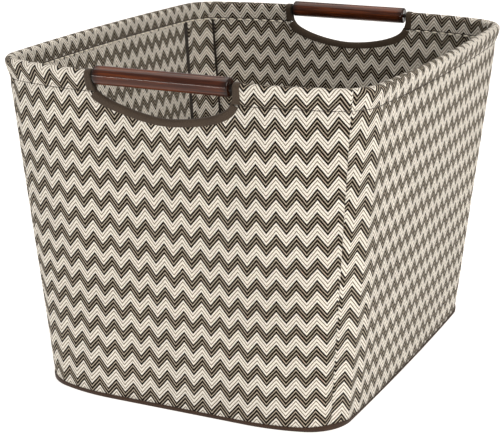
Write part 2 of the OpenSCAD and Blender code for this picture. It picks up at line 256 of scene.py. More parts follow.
def zigzag_cloth(name, dark, tan, grey, cream):
    """Woven polyester: matt, with a faint soft edge glow from the fibres and a bead at each yarn."""
    material, tree = new_material(name)
    flat = add(tree, "UVMap", uv_map="cloth")
    wobble = add(tree, "TexNoise", {"Vector": flat, "Scale": 90.0, "Detail": 2.0})
    wobble = add(tree, "VectorMath", [wobble.node.outputs["Color"], (0.5, 0.5, 0.5)], operation="SUBTRACT")
    wobble = add(tree, "VectorMath", {0: wobble, "Scale": 0.9 * MM}, operation="SCALE")
    shifted = add(tree, "VectorMath", [flat, wobble], operation="ADD")
    across = add(tree, "SeparateXYZ", [shifted])
    upward = across.node.outputs["Y"]
    zig = add(tree, "Math", [add(tree, "Math", [across, ZIG], operation="DIVIDE"), 0.5], operation="PINGPONG")
    row = add(tree, "Math", [zig, 2 * RISE, upward], operation="MULTIPLY_ADD")
    row = add(tree, "Math", [row, REPEAT], operation="DIVIDE")
    # beads: yarns follow the legs of the zigzag, 20 to a repeat, and are bound down once every YARN
    along = add(tree, "Math", [add(tree, "Math", [row, 20 * math.tau], operation="MULTIPLY")], operation="SINE")
    bound = add(tree, "Math", [add(tree, "Math", [across, math.tau / YARN], operation="MULTIPLY")], operation="SINE")
    bead = add(tree, "Math", [along, bound], operation="MULTIPLY")
    fuzz = add(tree, "TexNoise", {"Vector": flat, "Scale": 900.0, "Detail": 1.0})
    edge = add(tree, "Math", [bead, 0.012, add(tree, "Math", [row], operation="FRACT")], operation="MULTIPLY_ADD")
    lines = stops_of(add(tree, "ValToRGB", [edge]), (0.000, dark), (0.047, dark), (0.064, cream), (0.158, cream),
                     (0.176, grey), (0.220, grey), (0.238, cream), (0.362, cream), (0.380, grey), (0.424, grey),
                     (0.442, cream), (0.536, cream), (0.553, dark), (0.666, dark), (0.682, tan), (0.718, tan),
                     (0.734, dark), (0.866, dark), (0.882, tan), (0.918, tan), (0.934, dark))
    shade = add(tree, "MapRange", {0: bead, 1: -1.0, 2: 1.0, 3: 0.84, 4: 1.08})
    blotch = add(tree, "TexNoise", {"Vector": flat, "Scale": 14.0, "Detail": 3.0})
    for unevenness, least, most in ((blotch, 0.95, 1.05), (fuzz, 0.86, 1.12)):
        share = add(tree, "MapRange", {0: unevenness, 1: 0.3, 2: 0.7, 3: least, 4: most})
        shade = add(tree, "Math", [shade, share], operation="MULTIPLY")
    colour = add(tree, "VectorMath", {0: lines, "Scale": shade}, operation="SCALE")
    height = add(tree, "Math", [fuzz, 0.5, bead], operation="MULTIPLY_ADD")
    bump = add(tree, "Bump", {"Strength": 0.35, "Distance": 0.25 * MM, "Height": height})
    shader = add(tree, "BsdfPrincipled", {"Base Color": colour, "Roughness": 0.9, "IOR": 1.5,
                                          "Specular IOR Level": 0.12, "Sheen Weight": 0.04,
                                          "Sheen Roughness": 0.5, "Normal": bump})
    add(tree, "OutputMaterial", [shader])
    return material


jacquard = zigzag_cloth("polyester_jacquard", "#140b04", "#b4a997", "#665b4b", "#dfdad0")
print("zigzag cloth:", len(jacquard.node_tree.nodes), "nodes")

# %% [markdown]
# ## Brown binding tape
# The edges are bound with a ribbed polyester tape, folded in half over the edge and sewn down. It is
# matt and a warm dark brown. Fine ribs run across it, half a millimetre apart on the real one and
# drawn at 0.9 mm. The tape round the base is darker. The strips behind the lining's corner seams are
# near black, a painted shadow for the shade inside those seams. The nonwoven cloth under the base
# has wider pressed ribs, so the same drawing serves for it.

# %% Binding tape, base cloth and thread
def ribbed_tape(name, low, high, rib=0.9 * MM):
    """Grosgrain tape: matt ribs across its length, slightly paler where they stand up."""
    material, tree = new_material(name)
    flat = add(tree, "UVMap", uv_map="cloth")
    across = add(tree, "SeparateXYZ", [flat])
    ribs = add(tree, "Math", [add(tree, "Math", [across, math.tau / rib], operation="MULTIPLY")], operation="SINE")
    grain = add(tree, "TexNoise", {"Vector": flat, "Scale": 1100.0, "Detail": 2.0})
    wear = add(tree, "TexNoise", {"Vector": flat, "Scale": 60.0, "Detail": 2.0})
    mixed = add(tree, "Math", [ribs, 0.12, grain], operation="MULTIPLY_ADD")
    mixed = add(tree, "Math", [wear, 0.5, mixed], operation="MULTIPLY_ADD")
    colour = stops_of(add(tree, "ValToRGB", [mixed]), (0.45, low), (1.0, high))
    bump = add(tree, "Bump", {"Strength": 0.5, "Distance": 0.2 * MM, "Height": mixed})
    shader = add(tree, "BsdfPrincipled", {"Base Color": colour, "Roughness": 0.8, "IOR": 1.5,
                                          "Specular IOR Level": 0.3, "Sheen Weight": 0.15,
                                          "Sheen Roughness": 0.45, "Normal": bump})
    add(tree, "OutputMaterial", [shader])
    return material


def spun_thread(name, low, high):
    """Sewing thread: a slight shine on its twist, and a little colour change from stitch to stitch."""
    material, tree = new_material(name)
    place = add(tree, "TexCoord").node.outputs["Object"]
    fibre = add(tree, "TexNoise", {"Vector": place, "Scale": 700.0, "Detail": 1.0})
    colour = stops_of(add(tree, "ValToRGB", [fibre]), (0.35, low), (0.65, high))
    bump = add(tree, "Bump", {"Strength": 0.4, "Distance": 0.1 * MM, "Height": fibre})
    shader = add(tree, "BsdfPrincipled", {"Base Color": colour, "Roughness": 0.55, "IOR": 1.5, "Normal": bump})
    add(tree, "OutputMaterial", [shader])
    return material


brown_tape = ribbed_tape("grosgrain_tape", "#2b2118", "#46392b")
felt_cloth = ribbed_tape("nonwoven_base_cloth", "#2f271e", "#463b2f", rib=2.4 * MM)
base_tape = ribbed_tape("grosgrain_base_tape", "#22130a", "#3f2a1b")
# painted shadow: near-black strips behind the lining seams stand in for the shade in each seam's gap
shadow_tape = ribbed_tape("painted_seam_shadow_tape", "#120d09", "#261d15")
dark_thread = spun_thread("polyester_thread_dark", "#241b12", "#3c2f22")
pale_thread = spun_thread("polyester_thread_pale", "#cdc4b2", "#f2ecdf")
print("tape and thread are ready")

# %% [markdown]
# ## Where the weave lies on each wall
# A cloth that was cut flat and wrapped round a tapered box never keeps its rows level. On the short
# ends the rows rise towards the corners, and the long sides' cloth was cut a few degrees off the
# thread, so its columns lean forward. These two functions turn a distance along the wall and a height
# into a place on the flat cloth. The back is cut as the front is, apart from where its columns fall,
# and the left side has a cut of its own.

# %% Flat places on the cloth
def short_cloth(s, z, back=False):
    """Flat place of a point on the front or back cover, s mm from its middle."""
    across = -8.77 + 0.995 * s - 0.0337 * z + 1.9e-5 * s * z + 5.6e-5 * s * s + 4.6e-5 * z * z
    upward = 1.53 + 0.005 * s + z + 3.4e-5 * s * z - 2.75e-4 * s * s - 1.2e-5 * z * z
    return np.stack([across - (np.interp(s, [-63, 63], [0, 7.2]) if back else 0), upward], -1)


def long_cloth(s, z, left=False):
    """Flat place of a point on the left or right cover, s mm from its middle."""
    if left:
        across = 7.17 + 1.0736 * s + 0.0915 * z + 0.11 * np.maximum(z - 278, 0)
        return np.stack([across, -8.0 + 0.015 * s + 0.9735 * z], -1)
    across = 0.87 + 1.0036 * s + 0.0915 * z + 1.78e-4 * s * z - 1.25e-4 * s * s - 2.8e-5 * z * z
    upward = -13.3 - 0.0268 * s + 0.9735 * z - 4.5e-5 * s * z + 5.7e-5 * s * s
    # A correction, and not something real cloth does: near the front corner the weave is drawn up to
    # 12.5 mm further along, most of all at the base, so that its rows meet the seam where they should.
    # The model's corner may bend differently from the real one, but that was not confirmed.
    end = -121 - 0.145 * z
    ease = np.clip((end - s) / (end + 168), 0, 1)
    across = across + ease * np.clip(0.072 * (302 - z), 0, 12.5)
    return np.stack([across, upward - ease * ease * np.clip(0.032 * (278 - z), 0, 7)], -1)


def ripple(points, size, seed, waves=9):
    """A smooth uneven height at each point, between about -1 and 1, with bumps about size mm apart."""
    dice = np.random.default_rng(seed)
    turn = dice.normal(size=(waves, 3))
    turn *= (math.tau / size * dice.uniform(0.6, 1.5, waves) / np.linalg.norm(turn, axis=1))[:, None]
    start = dice.uniform(0, math.tau, waves)
    return sum(np.sin(points @ turn[k] + start[k]) for k in range(waves)) / math.sqrt(waves)


print("a row on the front rises", round(2.75e-4 * 130 ** 2, 1), "mm by the corner")

# %% [markdown]
# ## The four covers
# Each short cover wraps a little way round its corners to a seam, and each long cover runs between two
# seams. The cloth is sewn to its neighbour and turned over the board, so it dips into a narrow valley
# at the seam and at the hem stitching, with small puckers where the thread pulls it in. Between them it
# lies over the board with hardly a ripple. Vertex moves do this better than a simulation would,
# because the board behind holds the cloth still.

# %% Heights, the hand opening and the surface of a cover
SEAM = 2.38                       # station of the cover seam in each corner
OPEN_HALF, OPEN_SIDE = 63.6, 60.6    # from the middle to the hem's cut end, and to the tape's fold
OPEN_LOW, EDGE_TOP = WIRE_Z - 31, STITCH_Z + 1.5
TAPE_IN, TAPE_OUT, TAPE_W = 2.1, 2.7, 7.5


def opening_edge(left, right):
    """Points along the sewn edge of a hand opening, and the direction into the cloth at each, both as
    x and z. Left and right say how square each side's curve is: 2 is an ellipse, less is straighter."""
    turn = np.linspace(0, np.pi / 2, 60)
    side = lambda power: (OPEN_SIDE * np.sin(turn) ** (2 / power),
                          EDGE_TOP - (EDGE_TOP - OPEN_LOW) * np.cos(turn) ** (2 / power))
    (lx, lz), (rx, rz) = side(left), side(right)
    line = np.stack([np.concatenate([-lx[::-1], rx[1:]]), np.concatenate([lz[::-1], rz[1:]])], 1)
    far = np.concatenate([[0], np.cumsum(np.linalg.norm(np.diff(line, axis=0), axis=1))])
    even = np.linspace(0, far[-1], 101)
    line = np.stack([np.interp(even, far, line[:, k]) for k in (0, 1)], 1)
    for _ in range(6):
        line[1:-1] = (line[:-2] + 2 * line[1:-1] + line[2:]) / 4
    run = np.gradient(line, axis=0)
    into = np.stack([run[:, 1], -run[:, 0]], 1)
    return line, into / np.linalg.norm(into, axis=1)[:, None]


EDGES = {16: opening_edge(1.38, 1.85), 8: opening_edge(1.85, 1.6)}


def top_edge(stations, middle, opened):
    """Height of a layer's top edge at each station: the stitching, or the hand opening's curve."""
    top = np.full(len(stations), STITCH_Z - 0.15)
    if opened:
        x, (line, into) = (stations - middle) * STRAIGHT, EDGES[middle]
        rim = (line + TAPE_OUT * into)[(line[:, 1] < STITCH_Z)]
        inside = (x > rim[0, 0]) & (x < rim[-1, 0])
        top[inside] = np.minimum(top[inside], np.interp(x[inside], *rim.T))
    return top


def layer_grid(stations, top, rows=44):
    """Station and height of each point of a layer, with closer rows towards its top edge."""
    near_top = np.array([8, 6.5, 5, 4, 3, 2.2, 1.5, 0.9, 0.4, 0])
    share = np.linspace(0, 1, rows)[None, :-1]
    low = FLOOR_Z + (top[:, None] - near_top[0] - FLOOR_Z) * share
    z = np.concatenate([low, top[:, None] - near_top[None, :]], 1)
    return np.broadcast_to(stations[:, None], z.shape), z


def lean(station, z):
    """Moves the stations round a corner so that the cover seam, at SEAM, leans back towards its foot."""
    turn = np.mod(station, 16)
    odd = np.floor(turn / 4) % 2 == 1
    near = np.where(odd, 4 * (np.floor(turn / 4) + 1) - turn, np.mod(turn, 4))
    seam = 2.50 - 0.23 * np.clip(z / WIRE_Z, 0, 1)
    moved = np.interp(near, [0, 2, SEAM, 3, 4], [0, 0, 1, 0, 0]) * (seam - SEAM)
    return station + np.where(odd, -moved, moved)


def edge_gap(station, ends, z):
    """Distance in mm from each point to the nearer of a layer's two upright edges."""
    here = wall(station, z, 0.0)[0]
    return np.minimum(*(np.linalg.norm(here - wall(end, z, 0.0)[0], axis=-1) for end in ends))


def dips(gap, z, points, seed):
    """How far a sewn layer is pulled in, in mm: at its seams, at the hem stitching, and in soft waves."""
    tug = 0.75 + 0.25 * ripple(points, 14, seed)
    seam = np.exp(-(gap / 1.1) ** 2) * 0.75 + np.exp(-(gap / 5.0) ** 2) * 0.18 * tug
    below = np.clip(STITCH_Z - z, 0, None)
    hem = np.exp(-(below / 1.5) ** 2) * 0.55 + np.exp(-(below / 7.0) ** 2) * 0.22 * tug
    # beside each seam a little of the cloth is gathered under the hem
    gather = np.exp(-((gap - 14) / 4) ** 2 - ((below - 3.5) / 2) ** 2) * 0.8
    return seam + hem + gather - 0.16 * (1 + ripple(points, 75, seed + 1))


def make_cover(name, middle, reach, opened, flat_of, node):
    """One cover. Reach is how many stations it goes to either side of its middle."""
    ends = (middle - reach, middle + reach)
    columns = stops(*ends)
    if opened:
        columns = np.unique(np.concatenate([columns, middle + EDGES[middle][0][::3, 0] / STRAIGHT]))
    station, z = layer_grid(columns, top_edge(columns, middle, opened))
    station = lean(station, z)
    points, to_short, to_long = wall(station, z, COVER[0])
    pull = dips(edge_gap(station, [lean(end + 0 * z, z) for end in ends], z), z, points, 3 * middle)
    outer = wall(station, z, COVER[0] + pull)[0]
    inner = wall(station, z, COVER[1] + pull)[0]
    flat = flat_of(to_short if opened else to_long, z, middle in (8, 12))
    piece = cloth_solid(name, outer, inner, flat)
    sew_in(piece, jacquard, node)


for name, middle in (("front", 16), ("back", 8)):
    make_cover(name + "_cover_cloth", middle, SEAM, True, short_cloth, name + "_cover")
for name, middle in (("right", 4), ("left", 12)):
    make_cover(name + "_cover_cloth", middle, 4 - SEAM, False, long_cloth, name + "_cover")

# %% [markdown]
# ## The rolled hem
# The cover goes on over the wire: up the outside, round the wire and down the inside to one line of
# stitching, so the zigzag runs straight on over the roll. It is cut with the cover, but it is modelled
# as a piece of its own so that it can stop at the hand openings. Its flat place goes on from the
# cover's, with the distance round the fold added to the height, and it changes cloth at each seam.

# %% Hems
ROLL = WIRE_D / 2 + 1.5            # inside radius of the roll
HEM_DROP = WIRE_Z - STITCH_Z       # from the wire down to the hem stitching


def fold_line(grow, low, sides=9, turns=13):
    """The fold seen end on, as inset, drop below the wire, and distance round the fold."""
    foot, r = HALF_STACK - CLOTH_T + grow, ROLL + grow
    share = np.linspace(0, 1, sides, endpoint=False)
    ease = share * share * (3 - 2 * share)
    side = np.stack([-(foot + (r - foot) * ease), low * (1 - share)], 1)
    h = np.linspace(0, np.pi, turns)
    arch = np.stack([-r * np.cos(h), -r * np.sin(h)], 1)
    line = np.concatenate([side, arch, side[::-1] * [-1, 1]])
    far = np.concatenate([[0], np.cumsum(np.hypot(*np.diff(line, axis=0).T))])
    return line[:, 0], line[:, 1], far


def make_hem(name, middle, node):
    """One sleeve of hem, from hand opening to hand opening round one long side."""
    start = (OPEN_HALF + 1.8) / STRAIGHT
    ends = (middle - 4 + start, middle + 4 - start)
    columns = stops(*ends, step=3.5)
    seams = (middle - 4 + SEAM, middle + 4 - SEAM)
    beside = 0.9 / 34 * np.arange(-3, 4)    # closer columns, about 0.9 mm apart, beside a seam
    columns = np.unique(np.concatenate([columns] + [seam + beside for seam in seams]))
    inset, drop, far = fold_line(CLOTH_T, HEM_DROP)
    thin, thin_drop, _ = fold_line(0.0, HEM_DROP)
    z = WIRE_Z - drop
    station = lean(columns[:, None] + 0 * inset[None, :], z[None, :])
    points = wall(station, z, inset)[0]
    seam_lines = [wall(lean(seam + 0 * station, z[None, :]), z, inset)[0] for seam in seams]
    at_seam = np.minimum(*(np.linalg.norm(points - line, axis=-1) for line in seam_lines))
    # the stitching pulls both feet of the fold in, the seam cuts a shallow valley across it, and the
    # roll is never quite even
    depth = np.clip(HEM_DROP - drop, 0, None)[None, :]
    tug = 0.75 + 0.25 * ripple(points, 14, 5 * middle)
    pull = np.exp(-(depth / 1.3) ** 2) * 0.6 + np.exp(-(depth / 5.0) ** 2) * 0.25 * tug
    pull = pull + np.exp(-(at_seam / 1.2) ** 2) * 0.5 - 0.16 * ripple(points, 24, 5 * middle + 1)
    shrink = 1 - pull / ROLL
    outer = wall(station, WIRE_Z - drop * (1 - 0.12 * (1 - shrink)), inset * shrink)[0]
    inner = wall(station, WIRE_Z - thin_drop, thin * shrink)[0]
    _, to_short, to_long = wall(station, STITCH_Z, COVER[0])
    rise = STITCH_Z + far[None, :] + 0 * station
    mid = (columns[1:] + columns[:-1]) / 2
    on_long = (mid > seams[0]) & (mid < seams[1])
    on_back = np.abs(columns - 8)[:, None] < 4
    flat = np.where(on_back[..., None], short_cloth(to_short, rise, True), short_cloth(to_short, rise))
    piece = cloth_solid(name, outer, inner, flat, long_cloth(to_long, rise, middle == 12), on_long)
    sew_in(piece, jacquard, node)


make_hem("right_hem_cloth", 4, "right_hem")
make_hem("left_hem_cloth", 12, "left_hem")

# %% [markdown]
# ## The lining
# Inside, the same zigzag cloth lines each wall. It is joined in every corner to a narrow strip, with
# two seams that turn back into the wall and leave a dark line. Behind each seam lies a near-black
# strip, a painted shadow for the shade in the seam's gap. The lining hangs a little slacker than the cover.

# %% Linings, corner strips and the painted shadow strips behind their seams
def lining_cloth(s, z, kind):
    """Flat place of a point on a lining, s mm from the middle of its wall. Each was cut where it fell."""
    if kind == "side":
        across = -3.5 + 1.022 * s + 0.11 * (z - 268) - 5.9e-4 * s * s
        return np.stack([across, z - 4.7], -1)
    over, up = {"end": (-5.2, 11.4), "strip": (-6.1, -4.2)}[kind]
    return np.stack([1.002 * s + over, z + up - 1.5e-4 * s * s], -1)


def make_lining(name, ends, middle, opened, node, seed):
    """One lining or corner strip, between two stations."""
    columns = stops(*ends)
    if opened:
        columns = np.unique(np.concatenate([columns, middle + EDGES[middle][0][::3, 0] / STRAIGHT]))
    station, z = layer_grid(columns, top_edge(columns, middle, opened), rows=34)
    points, to_short, to_long = wall(station, z, LINING[1])
    gap = edge_gap(station, ends, z)
    # the seam bites hard into the lining, and the cloth stands up in a soft roll beside it
    puff = np.exp(-((gap - 3.8) / 2.4) ** 2) * (1.1 + 0.45 * ripple(points, 11, seed + 2))
    pull = np.clip(dips(gap, z, points, seed) * 0.85 - puff, -2.2, 0.85)
    outer = wall(station, z, LINING[0] - pull)[0]
    inner = wall(station, z, LINING[1] - pull)[0]
    kind = "end" if opened else "strip" if "strip" in name else "side"
    flat = lining_cloth(to_long if kind == "side" else to_short, z, kind)
    piece = cloth_solid(name, outer, inner, flat)
    sew_in(piece, jacquard, node)


GAP_SHORT, GAP_LONG = 1.2, 3.0       # half of the open line at each of a strip's two seams, in mm
STRIP = (2.17, 3.035)               # stations of the two seams
# mm of wall to one station, at each of the two seams
per_corner = np.linalg.norm(wall(2.4, 200.0, 0.0)[0] - wall(2.5, 200.0, 0.0)[0]) / 0.1
per_side = np.linalg.norm(wall(3.1, 200.0, 0.0)[0] - wall(3.0, 200.0, 0.0)[0]) / 0.1
for name, middle in (("front", 16), ("back", 8)):
    reach = STRIP[0] - GAP_SHORT / per_corner
    ends = (middle - reach, middle + reach)
    make_lining(name + "_lining_cloth", ends, middle, True, name + "_lining", 11 + middle)
for name, middle in (("right", 4), ("left", 12)):
    reach = 4 - STRIP[1] - GAP_LONG / per_side
    ends = (middle - reach, middle + reach)
    make_lining(name + "_lining_cloth", ends, middle, False, name + "_lining", 11 + middle)
for name, corner, turn in (("front_right", 0, 1), ("back_right", 8, -1),
                           ("back_left", 8, 1), ("front_left", 16, -1)):
    ends = sorted((corner + turn * (STRIP[0] + GAP_SHORT / per_corner),
                   corner + turn * (STRIP[1] - GAP_LONG / per_side)))
    make_lining(name + "_strip_cloth", ends, corner, False, name + "_corner_strip", 31 + corner + turn)
    for side, near, per in (("a", STRIP[0], per_corner), ("b", STRIP[1], per_side)):
        at = corner + turn * near
        columns = stops(at - 6.0 / per, at + 6.0 / per, step=1.5, fine_ends=False)
        station, z = layer_grid(columns, np.full(len(columns), STITCH_Z - 0.6), rows=20)
        # painted shadow: a near-black strip just behind the seam gap stands in for the shade in it
        welt = [wall(station, z, inset)[0] for inset in (1.3, 1.45)]
        flat = np.stack([z, (station - at) * per_corner], -1)
        piece = cloth_solid(f"{name}_seam_welt_{side}", *welt, flat)
        sew_in(piece, shadow_tape, None)

# %% [markdown]
# ## Tapes on the hand openings
# One tape is folded over the curved lower edge of each hand opening, and a short one over the cut end
# of the hem on either side. Their sewn edges are pulled in a little, which shows where the stitching
# holds them, though its single stitches are too fine to draw. The fold is a half circle seen end on,
# carried along the opening's curve.

# %% Opening and hem tapes
def tape_line(r, edge, turns=13):
    """A folded tape seen end on: distance into the cloth, inset, and distance round the fold."""
    h = np.linspace(0, np.pi, turns)
    side = np.linspace(edge, TAPE_OUT, 6, endpoint=False)
    into = np.concatenate([side, TAPE_OUT - r * np.sin(h), side[::-1]])
    inset = np.concatenate([np.full(6, -r), -r * np.cos(h), np.full(6, r)])
    far = np.concatenate([[0], np.cumsum(np.hypot(np.diff(into), np.diff(inset)))])
    return into, inset, far


def make_opening_tape(name, middle, node):
    """The tape folded over the curved edge of one hand opening."""
    line, into_cloth = EDGES[middle]
    ends = np.clip((line[:, 1] - STITCH_Z + 2.5) / 2.5, 0, 1)
    grids = []
    for r in (TAPE_OUT, TAPE_IN):
        into, inset, far = tape_line(r, TAPE_W)
        # the tape is a little narrower in the middle of the curve than at its two ends
        wide = 0.72 + 0.28 * np.clip(np.abs(line[:, 0]) / 56, 0, 1) ** 2
        past_fold = into[:, None] - TAPE_OUT
        depth = TAPE_OUT + past_fold * np.where(past_fold > 0, wide[None, :], 1.0)
        x = line[None, :, 0] + depth * into_cloth[None, :, 0]
        z = line[None, :, 1] + depth * into_cloth[None, :, 1]
        base = wall(middle + x / STRAIGHT, z, inset[:, None])[0]
        # sewn edges are pulled in a little, unevenly, the fold stays round, and the ends lie on the sleeves
        sewn = np.clip((into - 4.2) / 3.0, 0, 1)[:, None] * (0.3 + 0.12 * ripple(base, 6, 7 * middle))
        sewn = sewn - 0.3 * ends[None, :]
        grids.append(wall(middle + x / STRAIGHT, z, inset[:, None] - np.sign(inset)[:, None] * sewn)[0])
    run = np.concatenate([[0], np.cumsum(np.linalg.norm(np.diff(line, axis=0), axis=1))])
    flat = np.stack(np.broadcast_arrays(run[None, :], far[:, None]), -1)
    piece = cloth_solid(name, grids[0], grids[1], flat)
    sew_in(piece, brown_tape, node)


TAPE_START = (OPEN_HALF + 1.2) / STRAIGHT
SLEEVE_W = 4.2                     # what shows of a sleeve tape beside its folded end


def make_hem_tape(name, end, towards, node):
    """A tape over the cut end of a hem. It runs out to the end, turns under and goes a little way back
    inside the roll. Towards is the sign of the direction from the end into the hem."""
    on = np.linspace(SLEEVE_W, 0, 9)
    bend = np.linspace(0, np.pi, 7)
    under = np.linspace(0.8, 3.8, 4)
    grids = []
    for r in (1.2, 0.6):
        into = np.concatenate([on[:-1], -r * np.sin(bend), under])
        grow = np.concatenate([np.full(8, 0.45 + r), 0.45 + r * np.cos(bend), np.full(4, 0.45 - r)])
        sewn = np.exp(-((SLEEVE_W - into) / 0.9) ** 2) * 0.3
        fold = [fold_line(g - p, 13.2) for g, p in zip(grow, sewn)]
        inset, drop = (np.array([f[k] for f in fold]) for k in (0, 1))
        # the foot of the sleeve curves in to meet the end of the opening's tape
        curve = 2.6 * np.clip((drop - 3) / 10.2, 0, 1) ** 2 * (1 - 0.8 * np.clip(into / SLEEVE_W, 0, 1))[:, None]
        station = end + towards * (into[:, None] - curve) / STRAIGHT
        grids.append(wall(station, WIRE_Z - drop, inset)[0])
    far = fold[0][2]
    run = np.concatenate([[0], np.cumsum(np.linalg.norm(np.diff(grids[0][:, 8], axis=0), axis=1))])
    flat = np.stack(np.broadcast_arrays(far[None, :], run[:, None]), -1)
    piece = cloth_solid(name, *(grid[::-towards] for grid in grids), flat[::-towards])
    sew_in(piece, brown_tape, node)


make_opening_tape("front_opening_tape", 16, "front_opening_binding")
make_opening_tape("back_opening_tape", 8, "back_opening_binding")
make_hem_tape("front_right_sleeve_tape", TAPE_START, 1, "front_right_hem_tape")
make_hem_tape("back_right_sleeve_tape", 8 - TAPE_START, -1, "back_right_hem_tape")
make_hem_tape("back_left_sleeve_tape", 8 + TAPE_START, 1, "back_left_hem_tape")
make_hem_tape("front_left_sleeve_tape", 16 - TAPE_START, -1, "front_left_hem_tape")

# %% [markdown]
# ## Stitches
# A row of stitches is a string of short thread loops that stand up in the middle and dive into the
# cloth at both ends. They are built together as one mesh from a path and the direction that faces
# out. Outside, the hem thread is dark and sinks into the cloth. Inside, it is pale and easy to see, with
# a row of dark thread loops just above it, a painted shadow for the groove along the stitching. Every
# loop has six rings of six points.

# %% Rows of stitches
def make_stitches(name, path, out, pitch, length, thick, material):
    """Thread loops along a path in mm. Out is the direction away from the cloth at each path point."""
    far = np.concatenate([[0], np.cumsum(np.linalg.norm(np.diff(path, axis=0), axis=1))])
    starts = np.arange(pitch / 2, far[-1] - length, pitch)
    share = np.array([0, 0.12, 0.35, 0.65, 0.88, 1])
    at = (starts[:, None] + length * share[None, :]).ravel()
    pick = lambda v: np.stack([np.interp(at, far, v[:, k]) for k in range(3)], 1)
    centre, away = pick(path), pick(out)
    away /= np.linalg.norm(away, axis=1)[:, None]
    tangent = np.gradient(centre, axis=0)
    side = np.cross(tangent, away)
    side /= np.linalg.norm(side, axis=1)[:, None]
    lift = np.tile(np.array([-0.9, 0.2, 1, 1, 0.2, -0.9]) * thick / 2, len(starts))
    size = np.tile(np.array([0.35, 0.85, 1, 1, 0.85, 0.35]) * thick / 2, len(starts))
    angle = np.arange(6) * math.tau / 6
    ring = (centre + away * lift[:, None])[:, None, :] + size[:, None, None] * (
        np.cos(angle)[None, :, None] * away[:, None, :] + np.sin(angle)[None, :, None] * side[:, None, :])
    first = np.arange(len(starts))[:, None, None] * 36
    ring_at = np.arange(5)[None, :, None] * 6
    j = np.arange(6)[None, None, :]
    k = (j + 1) % 6
    at_ring = first + ring_at
    quads = np.stack(np.broadcast_arrays(at_ring + j, at_ring + k, at_ring + 6 + k, at_ring + 6 + j), -1)
    caps = [[n * 36 + s for s in range(6)][::-1] for n in range(len(starts))]
    caps += [[n * 36 + 30 + s for s in range(6)] for n in range(len(starts))]
    piece = finish_mesh(name, ring.reshape(-1, 3), quads.reshape(-1, 4).tolist() + caps)
    piece.data.materials.append(material)
    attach(piece, "bin")
    print(f"{name}: {len(starts)} stitches")


def wall_path(start, end, z, inset):
    """A path along the wall and the direction out of it, for stitches. A negative inset faces out."""
    station = stops(start, end, step=1.0, fine_ends=False)
    path = wall(station, z, inset)[0]
    away = wall(station, z, inset + (1.0 if inset > 0 else -1.0))[0] - path
    return path, away


for name, middle in (("right", 4), ("left", 12)):
    start = (OPEN_HALF + 1.2 + SLEEVE_W) / STRAIGHT
    ends = (middle - 4 + start, middle + 4 - start)
    # painted shadow: the third row is dark thread above the pale stitches, standing in for the groove's shade
    for row, z, inset, pitch, length, thick, thread in (
            ("stitches_outside", STITCH_Z, COVER[0] + 0.7, 4.2, 2.9, 0.5, dark_thread),
            ("stitches_inside", STITCH_Z, LINING[1] + 0.1, 9.0, 5.4, 1.8, pale_thread),
            ("shade_row_inside", STITCH_Z + 1.15, LINING[1], 3.8, 3.3, 1.0, dark_thread)):
        make_stitches(f"{name}_hem_{row}", *wall_path(*ends, z, inset), pitch, length, thick, thread)

# %% [markdown]
# ## The base
# Under the floor board lies a plain brown nonwoven cloth. A strip of darker tape goes round the
# bottom edge: under the base, round the corner and a few millimetres up the wall. It stands highest
# at the corners, where a straight strip has to be eased round them, and lowest on the long sides.
# Inside, a board wrapped in the zigzag cloth is pushed down to the bottom.

# %% Base cloth, binding and floor lining
loop = np.linspace(0, 16, 481)[:-1]


def base_sheet(name, z, t, inset, rings, crown, material, node):
    """A flat closed sheet on the base: rings of points from the edge to the centre, top and bottom.
    Crown is how far, in mm, it swells unevenly away from the edge. The rings close on one point, so the
    innermost faces have no area and leave a small mark there. A square grid would mend that."""
    share = np.linspace(1, 0.0, rings)
    edge = wall(loop, z, inset)[0]
    centre = np.array([0.0, 0.0, z])
    grid = centre + (edge - centre)[:, None, :] * share[None, :, None]
    round_off = np.exp(-((1 - share) * 160 / 1.6) ** 2)[None, :]
    swell = crown * ripple(grid, 90, int(z * 10))
    top, bottom = grid.copy(), grid.copy()
    top[..., 2] += t - 0.3 * t * round_off + swell * (1 - round_off)
    bottom[..., 2] += 0.3 * t * round_off
    flat = grid[..., :2]
    piece = cloth_solid(name, bottom[::-1], top[::-1], flat[::-1], ring=True)
    sew_in(piece, material, node)


UNDER_INSET = 7.15 - HALF_STACK    # the underside cloth stops just clear of the edge tape
FLOOR_CLOTH_Z = FLOOR_Z + 2.55     # the floor cloth lies just clear of its board
base_sheet("base_underside_cloth", 0.0, CLOTH_T, UNDER_INSET, 12, 0.0, felt_cloth,
           "base_cloth")
base_sheet("base_floor_cloth", FLOOR_CLOTH_Z, CLOTH_T, BASE_INSET, 40, 0.12, jacquard,
           "base_lining")


